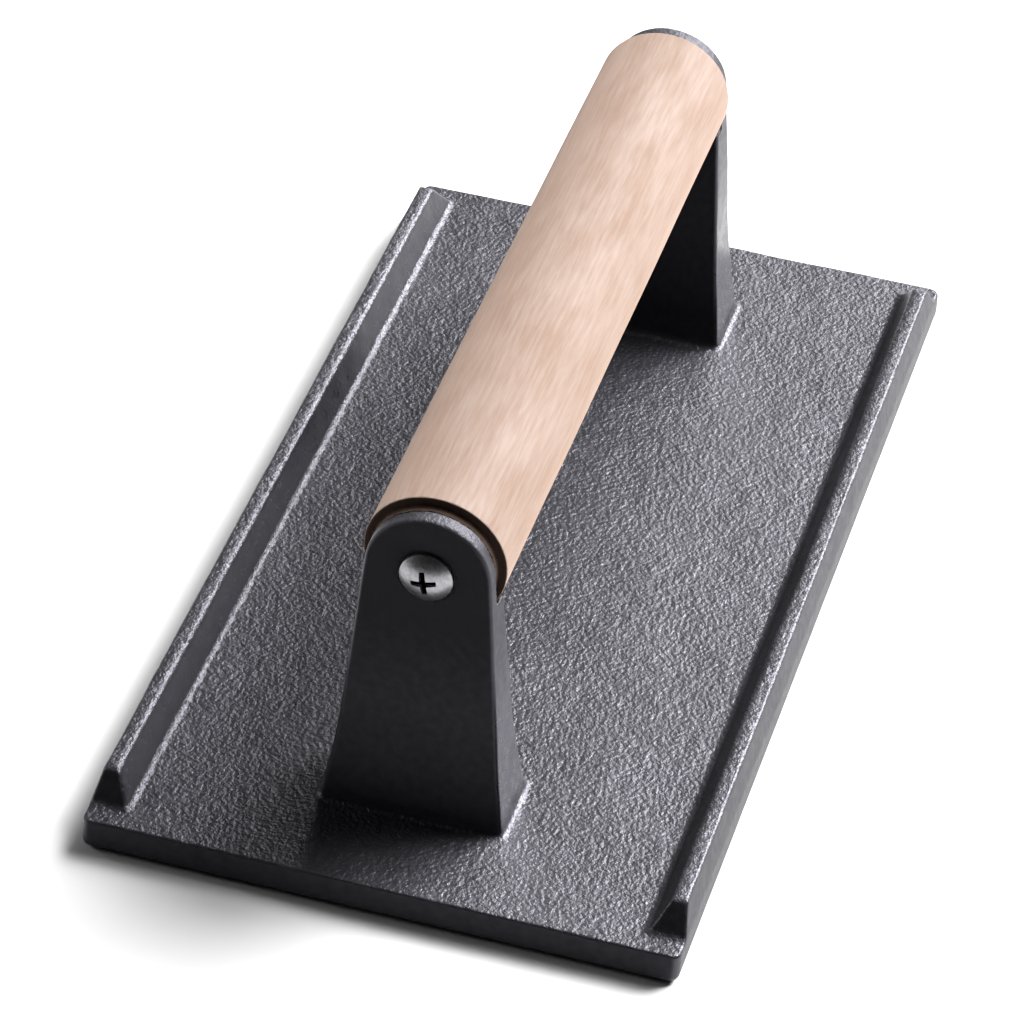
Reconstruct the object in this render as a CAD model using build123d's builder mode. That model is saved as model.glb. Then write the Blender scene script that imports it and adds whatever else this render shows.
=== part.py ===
"""Cast-iron patty press: one iron casting, a beech handle and the two screws that hold it.

Frame: X runs along the handle, Y across the plate, Z up.
The origin is the centre of the flat cooking face, which lies at Z = 0.
"""
import os
from math import cos, radians, sin, tan

from build123d import *

# ---- plate ----
plate_length = 211.0
plate_width = 109.0
plate_thickness = 6.1
plate_end_draft = 4.7
plate_corner_radius = 1.8
plate_bottom_round = 1.4

# ---- the two ribs along the long edges ----
rib_height = 5.4
rib_top_width = 2.8
rib_outer_inset = 1.2
rib_base_width = 7.1
rib_base_end_gap = 5.0
rib_top_end_gap = 9.3
rib_fillet = 1.0

# ---- the two posts ----
handle_height = 58.8
post_top_radius = 11.4
post_side_draft = 4.9
post_outer_x = 82.6
post_outer_draft = 1.0
post_inner_x = 75.4
post_inner_draft = 4.9
post_flare_height = 24.0
post_face_flare = 2.2
post_side_flare = 1.6
post_base_fillet = 1.5
post_edge_round = 0.6
post_root_depth = 3.0
seat_floor_x = 79.3

# ---- handle ----
handle_diameter = 25.8
handle_length = 155.4
handle_end_round = 0.8
spigot_diameter = 22.6
seat_clearance = 0.1

# ---- screws, ST4.8 pan head ----
screw_head_diameter = 9.6
screw_head_height = 2.9
screw_rim_height = 0.9
screw_shank_diameter = 4.4
screw_length = 38.0
screw_tip_length = 4.5
screw_tip_radius = 0.4
screw_clearance_diameter = 5.2
recess_span = 4.8
recess_arm_width = 1.15
recess_depth = 1.9
recess_taper = 14.0
recess_turn = 10.0
spotface_diameter = 10.8
spotface_x = 82.3

# ---- derived sizes ----
plate_half_length = plate_length / 2
plate_half_width = plate_width / 2
rib_top_z = plate_thickness + rib_height
rib_top_outer_y = plate_half_width - rib_outer_inset
rib_top_inner_y = rib_top_outer_y - rib_top_width
rib_base_inner_y = plate_half_width - rib_base_width
plate_top_half_length = plate_half_length - plate_thickness * tan(radians(plate_end_draft))
flare_z = plate_thickness + post_flare_height
handle_half_length = handle_length / 2
handle_radius = handle_diameter / 2
post_top_z = handle_height + post_top_radius
post_root_z = plate_thickness - post_root_depth


def plate_section():
    """Outline of the plate with its two ribs, looking along X."""
    right = [
        (plate_half_width, 0),
        (plate_half_width, plate_thickness),
        (rib_top_outer_y, rib_top_z),
        (rib_top_inner_y, rib_top_z),
        (rib_base_inner_y, plate_thickness),
    ]
    left = [(-y, z) for y, z in reversed(right)]
    Polyline(*right, *left, close=True)


def plate_side():
    """Outline of the plate looking along Y: drafted ends, and ribs that stop short in a slope."""
    right = [
        (plate_half_length, 0),
        (plate_top_half_length, plate_thickness),
        (plate_half_length - rib_base_end_gap, plate_thickness),
        (plate_half_length - rib_top_end_gap, rib_top_z),
    ]
    left = [(-x, z) for x, z in reversed(right)]
    Polyline(*right, *left, close=True)


def flared_side(top, slope_angle, flare_width, outward):
    """A post's side from its top point down: a drafted line, then an arc that flares to the root.

    The side leans out by slope_angle, and by flare_width more at the root. Outward is the side of
    the section it leans to.
    Returns the point that the side ends at, which is buried in the plate.
    """
    lean = outward * tan(radians(slope_angle))
    flare_start = (top[0] + lean * (top[1] - flare_z), flare_z)
    root = (top[0] + lean * (top[1] - post_root_z) + outward * flare_width, post_root_z)
    Line(top, flare_start)
    TangentArc(flare_start, root, tangent=(lean, -1))
    return root


def post_outline():
    """Outline of a post looking along X: drafted, flared sides under a half-round top."""
    tangent_y = post_top_radius * cos(radians(post_side_draft))
    tangent_z = handle_height + post_top_radius * sin(radians(post_side_draft))
    right_root = flared_side((tangent_y, tangent_z), post_side_draft, post_side_flare, 1)
    left_root = flared_side((-tangent_y, tangent_z), post_side_draft, post_side_flare, -1)
    ThreePointArc((tangent_y, tangent_z), (0, post_top_z), (-tangent_y, tangent_z))
    Line(left_root, right_root)


def post_wedge(side):
    """Outline of a post looking along Y: thin at the top, thicker towards the plate."""
    top_z = post_top_z + 1
    above = top_z - handle_height
    outer_top = (side * (post_outer_x - above * tan(radians(post_outer_draft))), top_z)
    inner_top = (side * (post_inner_x + above * tan(radians(post_inner_draft))), top_z)
    outer_root = flared_side(outer_top, post_outer_draft, post_face_flare, side)
    inner_root = flared_side(inner_top, post_inner_draft, post_face_flare, -side)
    Line(outer_top, inner_top)
    Line(outer_root, inner_root)


# ---- casting: plate, ribs and posts are one piece of iron ----
posts = []
for side in (-1, 1):
    with BuildPart() as post:
        with BuildSketch(Plane.YZ.offset(side * post_outer_x)):
            with BuildLine():
                post_outline()
            make_face()
        extrude(amount=plate_half_length - post_outer_x, both=True)
        with BuildSketch(Plane.XZ):
            with BuildLine():
                post_wedge(side)
            make_face()
        extrude(amount=plate_half_width, both=True, mode=Mode.INTERSECT)
        # the corners between the broad faces and the sides, which are the edges off both axes
        post_corners = post.edges().filter_by(
            lambda edge: min(edge.bounding_box().size.X, edge.bounding_box().size.Y) > 0.01
        )
        fillet(post_corners, post_edge_round)
        # round seat in the inner face, for the end of the handle
        with BuildSketch(Plane.YZ.offset(side * seat_floor_x)):
            with Locations((0, handle_height)):
                Circle(handle_radius + seat_clearance)
        extrude(amount=-side * handle_radius, mode=Mode.SUBTRACT)
    posts.append(post.part)

with BuildPart() as casting:
    with BuildSketch(Plane.YZ):
        with BuildLine():
            plate_section()
        make_face()
    extrude(amount=plate_half_length, both=True)
    with BuildSketch(Plane.XZ):
        with BuildLine():
            plate_side()
        make_face()
    extrude(amount=plate_half_width, both=True, mode=Mode.INTERSECT)
    # plate corners
    corner_edges = casting.edges().filter_by(
        lambda edge: edge.bounding_box().size.Z > plate_thickness / 2
        and abs(edge.center().X) > plate_top_half_length
    )
    fillet(corner_edges, plate_corner_radius)
    # the round where each rib's inner face meets the plate
    root_edges = casting.edges().filter_by(Axis.X).filter_by(
        lambda edge: abs(abs(edge.center().Y) - rib_base_inner_y) < 0.01
        and abs(edge.center().Z - plate_thickness) < 0.01
    )
    fillet(root_edges, rib_fillet)
    add(posts)
    # the round where each post meets the plate
    base_edges = casting.edges().filter_by(
        lambda edge: abs(edge.center().Z - plate_thickness) < 0.01
        and abs(edge.center().Y) < plate_half_width / 2
        and abs(edge.center().X) < plate_top_half_length - 1
    )
    fillet(base_edges, post_base_fillet)
    # bottom rim
    fillet(casting.faces().sort_by(Axis.Z)[0].edges(), plate_bottom_round)
    # a flat spot for each screw head, and the clearance hole through the post
    for side in (-1, 1):
        with BuildSketch(Plane.YZ.offset(side * spotface_x)):
            with Locations((0, handle_height)):
                Circle(spotface_diameter / 2)
        extrude(amount=side * screw_head_height, mode=Mode.SUBTRACT)
        with BuildSketch(Plane.YZ.offset(side * seat_floor_x)):
            with Locations((0, handle_height)):
                Circle(screw_clearance_diameter / 2)
        extrude(amount=side * (spotface_x - seat_floor_x), mode=Mode.SUBTRACT)

# ---- handle: a turned beech rod with a short spigot and a pilot bore at each end ----
with BuildPart() as handle:
    with BuildSketch(Plane.YZ):
        with Locations((0, handle_height)):
            Circle(handle_radius)
    extrude(amount=handle_half_length, both=True)
    fillet(handle.edges().filter_by(GeomType.CIRCLE), handle_end_round)
    # the spigots stand against the seat floors
    with BuildSketch(Plane.YZ):
        with Locations((0, handle_height)):
            Circle(spigot_diameter / 2)
    extrude(amount=seat_floor_x, both=True)


def make_screw(side):
    """Pan-head screw lying along X, its head outside the post and its point in the handle."""
    inward = -side
    seat_x = side * spotface_x
    head_x = seat_x + side * screw_head_height
    rim_x = seat_x + side * screw_rim_height
    tip_x = seat_x + inward * screw_length
    cone_x = tip_x - inward * screw_tip_length
    axis_z = handle_height
    shank_z = axis_z + screw_shank_diameter / 2
    head_z = axis_z + screw_head_diameter / 2
    with BuildPart() as screw:
        with BuildSketch(Plane.XZ):
            with BuildLine():
                Line((head_x, axis_z), (tip_x, axis_z))
                Line((tip_x, axis_z), (tip_x, axis_z + screw_tip_radius))
                Line((tip_x, axis_z + screw_tip_radius), (cone_x, shank_z))
                Line((cone_x, shank_z), (seat_x, shank_z))
                Line((seat_x, shank_z), (seat_x, head_z))
                Line((seat_x, head_z), (rim_x, head_z))
                TangentArc((head_x, axis_z), (rim_x, head_z), tangent=(0, 1))
            make_face()
        revolve(axis=Axis((0, 0, axis_z), (1, 0, 0)))
        # cross recess
        with BuildSketch(Plane(origin=(head_x, 0, axis_z), x_dir=(0, 1, 0), z_dir=(side, 0, 0))):
            Rectangle(recess_span, recess_arm_width, rotation=recess_turn)
            Rectangle(recess_arm_width, recess_span, rotation=recess_turn)
        extrude(amount=-recess_depth, taper=recess_taper, mode=Mode.SUBTRACT)
    return screw.part


screw_left = make_screw(-1)
screw_right = make_screw(1)

press_plate = casting.part
press_plate.label = "press_plate"
handle_rod = handle.part - screw_left - screw_right
handle_rod.label = "handle_rod"
screw_left.label = "screw_left"
screw_right.label = "screw_right"

os.makedirs("parts", exist_ok=True)
for piece in (press_plate, handle_rod, screw_left, screw_right):
    export_step(piece, f"parts/{piece.label}.step")
    print(piece.label, len(piece.solids()), round(piece.volume, 1), piece.bounding_box().size)
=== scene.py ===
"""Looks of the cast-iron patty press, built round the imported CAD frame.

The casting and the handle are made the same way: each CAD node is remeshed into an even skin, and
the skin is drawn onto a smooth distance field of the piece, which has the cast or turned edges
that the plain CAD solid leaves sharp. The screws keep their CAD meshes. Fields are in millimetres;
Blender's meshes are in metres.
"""
from math import cos, hypot, pi, radians, sin, sqrt, tan

import bmesh
import bpy
import numpy as np
from mathutils import Matrix, Vector


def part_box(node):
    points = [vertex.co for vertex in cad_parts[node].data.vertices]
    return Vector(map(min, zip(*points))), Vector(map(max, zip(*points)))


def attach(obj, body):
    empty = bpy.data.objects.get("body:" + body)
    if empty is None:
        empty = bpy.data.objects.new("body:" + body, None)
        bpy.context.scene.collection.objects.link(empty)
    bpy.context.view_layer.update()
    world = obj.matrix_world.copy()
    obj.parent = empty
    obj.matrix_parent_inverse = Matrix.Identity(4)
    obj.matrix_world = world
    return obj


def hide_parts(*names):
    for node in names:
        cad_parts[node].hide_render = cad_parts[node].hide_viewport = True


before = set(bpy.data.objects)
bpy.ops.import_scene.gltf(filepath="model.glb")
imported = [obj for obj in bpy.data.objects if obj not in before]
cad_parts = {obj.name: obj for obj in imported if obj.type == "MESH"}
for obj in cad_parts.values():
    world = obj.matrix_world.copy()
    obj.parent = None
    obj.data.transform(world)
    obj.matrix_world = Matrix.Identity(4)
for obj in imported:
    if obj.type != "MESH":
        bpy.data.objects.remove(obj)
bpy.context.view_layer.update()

MM = 0.001


def node_box(node):
    """Lowest and highest corner of a CAD node, in millimetres."""
    low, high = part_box(node)
    return np.array(low) / MM, np.array(high) / MM


# ---- sizes read from the frame, in millimetres ----
plate_high = node_box("press_plate")[1]
rod_low, rod_high = node_box("handle_rod")
screw_low, screw_high = node_box("screw_right")
PLATE_HALF_WIDTH = plate_high[1]
SEAT_FLOOR_X = rod_high[0]
ROD_RADIUS = (rod_high[1] - rod_low[1]) / 2
HANDLE_Z = (rod_high[2] + rod_low[2]) / 2
POST_RADIUS = plate_high[2] - HANDLE_Z
HEAD_TOP_X = screw_high[0]
SCREW_TIP_X = screw_low[0]

# ---- sizes that the boxes don't give, as in the CAD model ----
PLATE_HALF_LENGTH = 105.5
PLATE_THICKNESS = 6.1
END_DRAFT = radians(4.7)
RIB_TOP_Z = 11.5
RIB_OUTER_INSET = 1.2
RIB_TOP_WIDTH = 2.8
RIB_BASE_WIDTH = 7.1
RIB_BASE_END_GAP = 5.0
RIB_TOP_END_GAP = 9.3
POST_OUTER_X = 82.6
POST_INNER_X = 75.4
POST_SIDE_DRAFT = radians(4.9)
POST_OUTER_DRAFT = radians(1.0)
POST_INNER_DRAFT = radians(4.9)
FLARE_TOP_Z = 30.1
FLARE_ROOT_Z = 3.1
FACE_FLARE = 2.2
SIDE_FLARE = 1.1
SEAT_CLEARANCE = 0.1
SPIGOT_RADIUS = 11.3
SHOULDER_X = 77.7
SPOTFACE_RADIUS = 5.4
SPOTFACE_X = 82.3
HOLE_RADIUS = 2.6
SHANK_RADIUS = 2.2
RECESS_REACH = 2.6
RECESS_RIM = 0.65

# ---- edge rounds ----
CORNER_ROUND = 1.8
CAST_EDGE = 0.55
BOTTOM_EDGE = 1.6
RIB_FILLET = 0.8
POST_EDGE = 0.8
POST_FILLET = 1.3
SEAT_EDGE = 0.3
ROD_EDGE = 0.4


# ---- unevenness, in millimetres ----
MOULD_WAVE = 0.05
MOULD_WAVE_LENGTH = 21.0
MOULD_RIPPLE = 0.022
MOULD_RIPPLE_LENGTH = 6.5
TURNED_WAVE = 0.03
TURNED_WAVE_LENGTH = 38.0
GOLDEN_ANGLE = 2.399963


# ---- distance fields ----
def crossing(a, b, r):
    """Where both solids are, with the shared edge rounded by r."""
    u = np.maximum(a + r, 0)
    v = np.maximum(b + r, 0)
    return np.minimum(np.maximum(a, b), -r) + np.sqrt(u * u + v * v)


def joined(a, b, r):
    """Where either solid is, with a fillet of radius r between them."""
    return -crossing(-a, -b, r)


def slope_line(u, v, start, end):
    """Distance from the line through two points of a section, positive on its left-hand side."""
    du, dv = end[0] - start[0], end[1] - start[1]
    return (dv * -(u - start[0]) + du * (v - start[1])) / hypot(du, dv)


def wobble(p, wavelength, seed):
    """Smooth unevenness, about -1 to 1: a sum of waves in directions that the seed sets."""
    total = np.zeros(len(p))
    count = 7
    # the numbers below only keep the waves' directions, lengths and phases apart
    for i in range(count):
        turn = GOLDEN_ANGLE * (i + seed)
        lift = 0.9 * sin(1.7 * i + seed)
        size = 2 * pi / (wavelength * (0.75 + 0.09 * i))
        wave = np.array([cos(turn) * cos(lift), sin(turn) * cos(lift), sin(lift)]) * size
        total += np.sin(p @ wave + 1.3 * i * i + seed)
    return total / sqrt(count)


def flare(z):
    """How far a post spreads towards the plate, 0 to 1."""
    t = np.clip((FLARE_TOP_Z - z) / (FLARE_TOP_Z - FLARE_ROOT_Z), 0, 1)
    return t * t


def plate_field(x, y, z):
    """The plate and its two ribs. x and y are distances from the middle."""
    foot = PLATE_HALF_WIDTH - RIB_BASE_WIDTH
    crest_outer = PLATE_HALF_WIDTH - RIB_OUTER_INSET
    crest_inner = crest_outer - RIB_TOP_WIDTH
    side = y - PLATE_HALF_WIDTH
    rib_outer = slope_line(y, z, (crest_outer, RIB_TOP_Z), (PLATE_HALF_WIDTH, PLATE_THICKNESS))
    rib_inner = slope_line(y, z, (foot, PLATE_THICKNESS), (crest_inner, RIB_TOP_Z))
    end_top = PLATE_HALF_LENGTH - PLATE_THICKNESS * tan(END_DRAFT)
    end = slope_line(x, z, (end_top, PLATE_THICKNESS), (PLATE_HALF_LENGTH, 0))
    rib_end = slope_line(
        x, z,
        (PLATE_HALF_LENGTH - RIB_TOP_END_GAP, RIB_TOP_Z),
        (PLATE_HALF_LENGTH - RIB_BASE_END_GAP, PLATE_THICKNESS),
    )
    rib = crossing(crossing(rib_inner, rib_end, CAST_EDGE), z - RIB_TOP_Z, CAST_EDGE)
    upper = joined(z - PLATE_THICKNESS, rib, RIB_FILLET)
    rim = crossing(np.maximum(side, rib_outer), end, CORNER_ROUND)
    return crossing(crossing(rim, upper, CAST_EDGE), -z, BOTTOM_EDGE)


def post_field(x, y, z):
    """One post, with the seat for the handle and the screw's hole. x and y are from the middle."""
    outer_x = POST_OUTER_X + (HANDLE_Z - z) * tan(POST_OUTER_DRAFT) + FACE_FLARE * flare(z)
    inner_x = POST_INNER_X - (HANDLE_Z - z) * tan(POST_INNER_DRAFT) - FACE_FLARE * flare(z)
    faces = np.maximum(x - outer_x, inner_x - x)
    up = z - HANDLE_Z
    from_axis = np.hypot(y, up)
    tangent_y = POST_RADIUS * cos(POST_SIDE_DRAFT)
    tangent_z = POST_RADIUS * sin(POST_SIDE_DRAFT)
    straight = y - tangent_y - (tangent_z - up) * tan(POST_SIDE_DRAFT) - SIDE_FLARE * flare(z)
    in_round = up * cos(POST_SIDE_DRAFT) > y * sin(POST_SIDE_DRAFT)
    sides = np.where(in_round, from_axis - POST_RADIUS, straight * cos(POST_SIDE_DRAFT))
    post = crossing(faces, sides, POST_EDGE)
    seat = np.maximum(from_axis - ROD_RADIUS - SEAT_CLEARANCE, x - SEAT_FLOOR_X)
    spot = np.maximum(from_axis - SPOTFACE_RADIUS, SPOTFACE_X - x)
    hole = from_axis - HOLE_RADIUS
    post = crossing(post, -seat, SEAT_EDGE)
    post = crossing(post, -spot, SEAT_EDGE / 2)
    return np.maximum(np.maximum(post, -hole), FLARE_ROOT_Z - z)


def casting_field(p):
    x, y, z = np.abs(p[:, 0]), np.abs(p[:, 1]), p[:, 2]
    solid = joined(plate_field(x, y, z), post_field(x, y, z), POST_FILLET)
    above = np.clip(z / PLATE_THICKNESS, 0, 1)
    waves = MOULD_WAVE * wobble(p, MOULD_WAVE_LENGTH, 1)
    ripples = MOULD_RIPPLE * wobble(p, MOULD_RIPPLE_LENGTH, 4)
    return solid + above * (waves + ripples)


def rod_field(p):
    """The turned handle, with eased shoulders, a spigot at each end and the screws' bores."""
    x = np.abs(p[:, 0])
    from_axis = np.hypot(p[:, 1], p[:, 2] - HANDLE_Z)
    rod = crossing(from_axis - ROD_RADIUS, x - SHOULDER_X, ROD_EDGE)
    spigot = np.maximum(from_axis - SPIGOT_RADIUS, x - SEAT_FLOOR_X)
    bore = np.maximum(from_axis - SHANK_RADIUS, SCREW_TIP_X - x)
    rod = np.minimum(rod + TURNED_WAVE * (wobble(p, TURNED_WAVE_LENGTH, 2) + 1), spigot)
    return np.maximum(rod, -bore)


# ---- meshes from the fields ----
def gradient(field, p):
    step = 0.01
    sides = []
    for axis in range(3):
        shift = np.zeros(3)
        shift[axis] = step
        sides.append((field(p + shift) - field(p - shift)) / (2 * step))
    return np.stack(sides, 1)


def drawn_on(field, p, reach, rounds=6):
    """Moves points onto the field's surface, and gives the surface's normals there."""
    flattest = 0.05
    for _ in range(rounds):
        g = gradient(field, p)
        size = np.maximum((g * g).sum(1), flattest)
        move = np.clip(field(p) / size, -reach, reach)
        p = p - move[:, None] * g
    g = gradient(field, p)
    return p, g / np.maximum(np.linalg.norm(g, axis=1), 1e-9)[:, None]


def skin(name, node, field, pitch, splits, bend=radians(14)):
    """An even skin over a CAD node, drawn onto its field and split where it bends."""
    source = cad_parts[node].data.copy()
    bm = bmesh.new()
    bm.from_mesh(source)
    bmesh.ops.remove_doubles(bm, verts=bm.verts, dist=1e-6)
    bm.to_mesh(source)
    bm.free()
    holder = bpy.data.objects.new(name, source)
    bpy.context.scene.collection.objects.link(holder)
    remesh = holder.modifiers.new("even", "REMESH")
    remesh.mode = "VOXEL"
    remesh.voxel_size = pitch * MM
    ready = holder.evaluated_get(bpy.context.evaluated_depsgraph_get())
    mesh = bpy.data.meshes.new_from_object(ready)
    holder.modifiers.clear()
    bm = bmesh.new()
    bm.from_mesh(mesh)
    for turn in range(splits + 1):
        bm.verts.ensure_lookup_table()
        p = np.array([v.co for v in bm.verts]) / MM
        p, normals = drawn_on(field, p, pitch)
        for v, at in zip(bm.verts, p * MM):
            v.co = at
        if turn == splits:
            break
        ends = np.array([(e.verts[0].index, e.verts[1].index) for e in bm.edges])
        turning = (normals[ends[:, 0]] * normals[ends[:, 1]]).sum(1) < cos(bend)
        edges = [e for e, bent in zip(bm.edges, turning) if bent]
        bmesh.ops.subdivide_edges(bm, edges=edges, cuts=1, use_grid_fill=True)
        bm.verts.index_update()
    bmesh.ops.triangulate(bm, faces=[f for f in bm.faces if len(f.verts) > 4])
    bm.to_mesh(mesh)
    bm.free()
    for face in mesh.polygons:
        face.use_smooth = True
    mesh.normals_split_custom_set_from_vertices([Vector(n) for n in normals])
    holder.data = mesh
    bpy.data.meshes.remove(source)
    return holder


casting = skin("iron_casting", "press_plate", casting_field, pitch=1.25, splits=2)
rod = skin("beech_handle", "handle_rod", rod_field, pitch=1.1, splits=2)


# ---- materials ----
class Nodes:
    """A material's node tree, with short ways to add and join nodes."""

    def __init__(self, name):
        self.material = bpy.data.materials.new(name)
        self.material.use_nodes = True
        self.tree = self.material.node_tree
        self.tree.nodes.clear()
        self.shader = self.add("ShaderNodeBsdfPrincipled")
        output = self.add("ShaderNodeOutputMaterial")
        self.join(self.shader.outputs[0], output.inputs["Surface"])
        self.place = self.add("ShaderNodeTexCoord").outputs["Object"]

    def add(self, kind, **settings):
        node = self.tree.nodes.new(kind)
        for key, value in settings.items():
            setattr(node, key, value)
        return node

    def join(self, out, into):
        self.tree.links.new(out, into)

    def stretched(self, scale):
        """Object coordinates in millimetres, scaled along each axis."""
        node = self.add("ShaderNodeMapping")
        node.inputs["Scale"].default_value = [s / MM for s in scale]
        self.join(self.place, node.inputs["Vector"])
        return node.outputs[0]

    def noise(self, size, detail=2.0, rough=0.5, stretch=(1, 1, 1)):
        """Noise whose features are about size millimetres across, times the stretch."""
        node = self.add("ShaderNodeTexNoise")
        node.inputs["Scale"].default_value = 1.0
        node.inputs["Detail"].default_value = detail
        node.inputs["Roughness"].default_value = rough
        self.join(self.stretched([1 / (size * s) for s in stretch]), node.inputs["Vector"])
        return node.outputs["Fac"]

    def spots(self, size, stretch=(1, 1, 1)):
        """Distance to the nearest of scattered points, size millimetres apart."""
        node = self.add("ShaderNodeTexVoronoi")
        node.inputs["Scale"].default_value = 1.0
        self.join(self.stretched([1 / (size * s) for s in stretch]), node.inputs["Vector"])
        return node.outputs["Distance"]

    def range(self, value, low, high, to_low=0.0, to_high=1.0):
        """The value carried from low..high to to_low..to_high, and held at the ends."""
        node = self.add("ShaderNodeMapRange")
        self.join(value, node.inputs["Value"])
        sockets = ("From Min", "From Max", "To Min", "To Max")
        for socket, number in zip(sockets, (low, high, to_low, to_high)):
            node.inputs[socket].default_value = number
        return node.outputs[0]

    def math(self, operation, a, b):
        node = self.add("ShaderNodeMath", operation=operation)
        for socket, value in zip(node.inputs, (a, b)):
            if isinstance(value, (int, float)):
                socket.default_value = value
            else:
                self.join(value, socket)
        return node.outputs[0]

    def plus(self, a, b):
        return self.math("ADD", a, b)

    def times(self, a, b):
        return self.math("MULTIPLY", a, b)

    def absolute(self, value):
        return self.math("ABSOLUTE", value, 0.0)

    def facing(self, axis):
        """The surface normal's part along an axis."""
        split = self.add("ShaderNodeSeparateXYZ")
        self.join(self.add("ShaderNodeNewGeometry").outputs["Normal"], split.inputs[0])
        return split.outputs[axis]

    def along(self, axis):
        """Object coordinate along an axis, in metres."""
        split = self.add("ShaderNodeSeparateXYZ")
        self.join(self.place, split.inputs[0])
        return split.outputs[axis]

    def mix(self, factor, a, b):
        """A colour between a and b."""
        node = self.add("ShaderNodeMix", data_type="RGBA")
        for socket, value in zip((node.inputs[0], node.inputs[6], node.inputs[7]), (factor, a, b)):
            if isinstance(value, tuple):
                socket.default_value = (*value, 1.0)
            else:
                self.join(value, socket)
        return node.outputs[2]

    def bump(self, height, depth, strength=1.0, below=None):
        """Bump from a 0 to 1 height that is depth millimetres deep."""
        node = self.add("ShaderNodeBump")
        node.inputs["Strength"].default_value = strength
        node.inputs["Distance"].default_value = depth * MM
        self.join(height, node.inputs["Height"])
        if below is not None:
            self.join(below, node.inputs["Normal"])
        return node.outputs[0]


def iron_material():
    """Black pre-seasoned iron: sandy on the faces that look up, smoother on the drafted sides."""
    black, charcoal = (0.012, 0.012, 0.014), (0.020, 0.0195, 0.0225)
    # the first of these is a painted shade for the faces that don't look up, the second a lighter
    # painted shade for the plate's long outer sides
    painted_shade, rim_painted_shade = (0.003, 0.003, 0.004), (0.008, 0.008, 0.009)
    side_roughness, top_roughness = 0.30, 0.41
    end_dullness, post_top_dullness, rim_dullness = 0.52, 0.20, 0.22
    grain_depth = 0.36
    m = Nodes("seasoned_iron")
    upward = m.range(m.facing("Z"), 0.45, 0.85)
    grains = m.times(m.noise(0.85, 2.0, 0.5), 0.8)
    lumps = m.times(m.noise(2.6, 1.5, 0.5), 0.55)
    sand = m.times(m.plus(grains, lumps), m.range(upward, 0, 1, 0.06, 1.0))
    m.join(m.bump(sand, grain_depth), m.shader.inputs["Normal"])
    # patches on top, painted shade on the sides, and a lighter painted shade on the two long outer
    # sides of the plate
    patches = m.range(m.noise(9.0, 4.0, 0.6), 0.35, 0.65)
    sideways = m.range(m.absolute(m.facing("Y")), 0.85, 0.95)
    rim_start, rim_full = (PLATE_HALF_WIDTH - 3) * MM, (PLATE_HALF_WIDTH - 2) * MM
    rim = m.times(sideways, m.range(m.absolute(m.along("Y")), rim_start, rim_full))
    ground = m.mix(upward, painted_shade, m.mix(patches, black, charcoal))
    # the plate's two long outer sides get a lighter painted shade than the other sides
    m.join(m.mix(rim, ground, rim_painted_shade), m.shader.inputs["Base Color"])
    # duller on the faces that look along -X, high on the posts, and on the plate's long sides
    dull = m.plus(
        m.range(upward, 0, 1, side_roughness, top_roughness),
        m.range(m.facing("X"), -1.0, -0.8, end_dullness, 0.0),
    )
    dull = m.plus(dull, m.range(m.along("Z"), 30 * MM, 50 * MM, 0.0, post_top_dullness))
    dull = m.plus(dull, m.times(rim, rim_dullness))
    rubbed = m.range(m.noise(1.6, 3.0), 0.3, 0.7, -0.05, 0.05)
    m.join(m.plus(rubbed, dull), m.shader.inputs["Roughness"])
    m.shader.inputs["Specular IOR Level"].default_value = 0.6
    m.shader.inputs["Specular Tint"].default_value = (0.88, 0.86, 1.0, 1.0)
    return m.material


def beech_material():
    """Waxed beech: fine short streaks along the handle, ray flecks, and painted shade on the ends
    that sit against the posts.
    """
    pale, darker = (0.196, 0.148, 0.124), (0.150, 0.098, 0.073)
    fleck_brown, painted_end_shade = (0.16, 0.085, 0.05), (0.018, 0.007, 0.003)
    m = Nodes("waxed_beech")
    streaks = m.noise(0.55, 3.0, 0.6, (16, 1, 1))
    clouds = m.noise(6.0, 3.0, 0.5, (3, 1, 1))
    tone = m.plus(m.times(streaks, 0.7), m.times(clouds, 0.5))
    body = m.mix(m.range(tone, 0.44, 0.76), pale, darker)
    fleck = m.range(m.spots(2.6, (5, 1, 1)), 0.03, 0.08, 1.0, 0.0)
    body = m.mix(m.times(fleck, 0.45), body, fleck_brown)
    # painted shade on the handle's ends, where they meet the posts
    end_start, end_full = (SHOULDER_X - 0.3) * MM, (SHOULDER_X - 0.15) * MM
    end = m.range(m.absolute(m.along("X")), end_start, end_full)
    m.join(m.mix(end, body, painted_end_shade), m.shader.inputs["Base Color"])
    m.join(m.bump(streaks, 0.04, 0.5, m.bump(clouds, 0.06)), m.shader.inputs["Normal"])
    satin = m.range(clouds, 0.3, 0.7, 0.74, 0.84)
    m.join(m.math("MAXIMUM", satin, m.times(end, 0.95)), m.shader.inputs["Roughness"])
    m.shader.inputs["Specular IOR Level"].default_value = 0.3
    m.shader.inputs["Sheen Weight"].default_value = 0.22
    m.shader.inputs["Sheen Roughness"].default_value = 0.5
    m.shader.inputs["Sheen Tint"].default_value = (1.0, 0.70, 0.54, 1.0)
    return m.material


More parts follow.
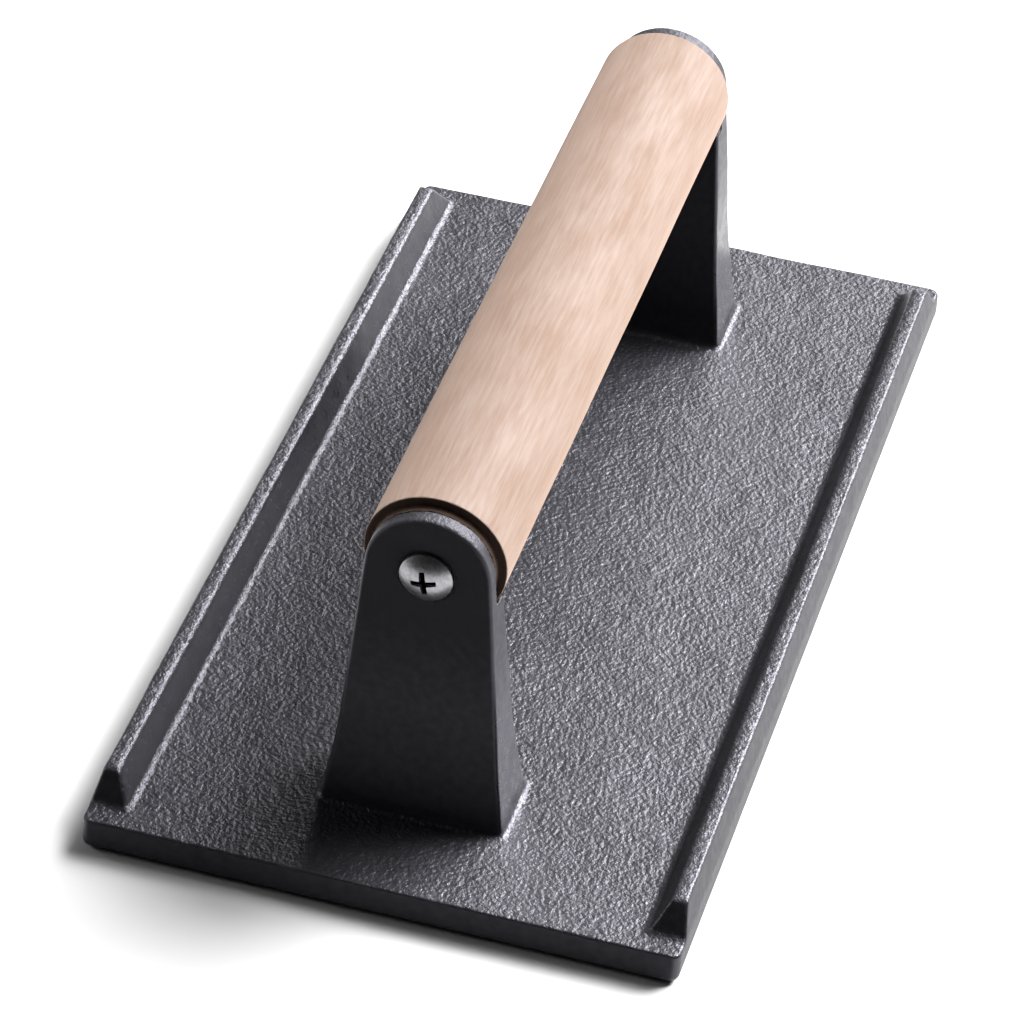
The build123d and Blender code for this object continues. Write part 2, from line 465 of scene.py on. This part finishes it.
def screw_material():
    """Dull dark steel, with painted shade in the cross recess."""
    steel_dark, steel_light, painted_shade = (0.28, 0.28, 0.295), (0.38, 0.38, 0.40), (0.02, 0.02, 0.02)
    m = Nodes("dark_screw_steel")
    # painted shade fills the cross recess
    across = m.math("POWER", m.along("Y"), 2.0)
    above = m.math("POWER", m.math("SUBTRACT", m.along("Z"), HANDLE_Z * MM), 2.0)
    near_axis = m.math("LESS_THAN", m.plus(across, above), (RECESS_REACH * MM) ** 2)
    sunk = m.math("LESS_THAN", m.absolute(m.along("X")), (HEAD_TOP_X - RECESS_RIM) * MM)
    steel = m.mix(m.range(m.noise(0.7, 3.0, 0.6), 0.4, 0.7), steel_dark, steel_light)
    m.join(m.mix(m.times(near_axis, sunk), steel, painted_shade), m.shader.inputs["Base Color"])
    m.join(m.range(m.noise(0.35, 2.0), 0.3, 0.7, 0.30, 0.38), m.shader.inputs["Roughness"])
    m.join(m.bump(m.noise(0.25, 2.0), 0.01), m.shader.inputs["Normal"])
    m.shader.inputs["Metallic"].default_value = 1.0
    return m.material


def dress(obj, material):
    obj.data.materials.clear()
    obj.data.materials.append(material)


iron, beech, screw_steel = iron_material(), beech_material(), screw_material()
dress(casting, iron)
dress(rod, beech)
for piece, node, slot in ((casting, "press_plate", "iron"), (rod, "handle_rod", "beech")):
    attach(piece, "root")
    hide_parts(node)
for node in ("screw_left", "screw_right"):
    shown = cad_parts[node]
    if not shown.material_slots:
        shown.data.materials.append(screw_steel)
    for material_slot in shown.material_slots:
        material_slot.material = screw_steel


# ---- camera ----
def towards(azimuth, elevation):
    """Direction from the object, angles in degrees. Azimuth 0 is towards -Y, 90 towards +X."""
    a, e = radians(azimuth), radians(elevation)
    return Vector((sin(a) * cos(e), -cos(a) * cos(e), sin(e)))


def aim(obj, back, roll):
    """Turns an object so that its back points along back, rolled about that line."""
    sideways = (-back).cross(Vector((0, 0, 1))).normalized()
    upward = sideways.cross(-back)
    right = cos(roll) * sideways + sin(roll) * upward
    up = -sin(roll) * sideways + cos(roll) * upward
    obj.rotation_mode = "QUATERNION"
    obj.rotation_quaternion = Matrix((right, up, back)).transposed().to_quaternion()


def make_camera():
    camera = bpy.data.objects.new("camera", bpy.data.cameras.new("camera"))
    bpy.context.scene.collection.objects.link(camera)
    aim(camera, towards(-76.32, 37.95), radians(3.82))
    camera.location = (-0.7523, -0.1772, 0.6140)
    camera.data.sensor_width = 36
    camera.data.lens = 182.75
    camera.data.clip_start = 0.01
    bpy.context.scene.camera = camera


# ---- studio ----
def softbox(name, azimuth, elevation, distance, size, power):
    """A square white area light that looks at the object."""
    lamp = bpy.data.lights.new(name, "AREA")
    lamp.shape = "SQUARE"
    lamp.size = size
    lamp.energy = power
    obj = bpy.data.objects.new(name, lamp)
    bpy.context.scene.collection.objects.link(obj)
    away = towards(azimuth, elevation)
    obj.location = away * distance
    aim(obj, away, 0)


def make_floor():
    mesh = bpy.data.meshes.new("floor")
    reach, rows, drop = 2.5, 24, 0.0002
    line = np.linspace(-reach, reach, rows + 1)
    corners = [(x, y, -drop) for y in line for x in line]
    faces = []
    for j in range(rows):
        for i in range(rows):
            first = j * (rows + 1) + i
            faces.append((first, first + 1, first + rows + 2, first + rows + 1))
    mesh.from_pydata(corners, [], faces)
    floor = bpy.data.objects.new("floor", mesh)
    bpy.context.scene.collection.objects.link(floor)
    m = Nodes("pale_floor")
    grey, pale = (0.58, 0.58, 0.58), (0.60, 0.60, 0.60)
    m.join(m.mix(m.range(m.noise(60.0, 2.0), 0.3, 0.7), grey, pale), m.shader.inputs["Base Color"])
    m.shader.inputs["Roughness"].default_value = 0.9
    m.shader.inputs["Specular IOR Level"].default_value = 0.1
    dress(floor, m.material)


def make_world():
    world = bpy.data.worlds.new("studio")
    world.use_nodes = True
    background = world.node_tree.nodes["Background"]
    background.inputs["Color"].default_value = (1, 1, 1, 1)
    background.inputs["Strength"].default_value = 0.015
    bpy.context.scene.world = world


make_camera()
make_floor()
make_world()
softbox("key_light", 54, 40, 3.0, 1.7, 200)
softbox("back_light", 78, 26, 3.0, 1.7, 60)
softbox("near_light", 45, 50, 1.2, 0.7, 33)
softbox("fill_light", 180, 30, 1.6, 0.9, 7)
bpy.context.scene.view_settings.view_transform = "Standard"
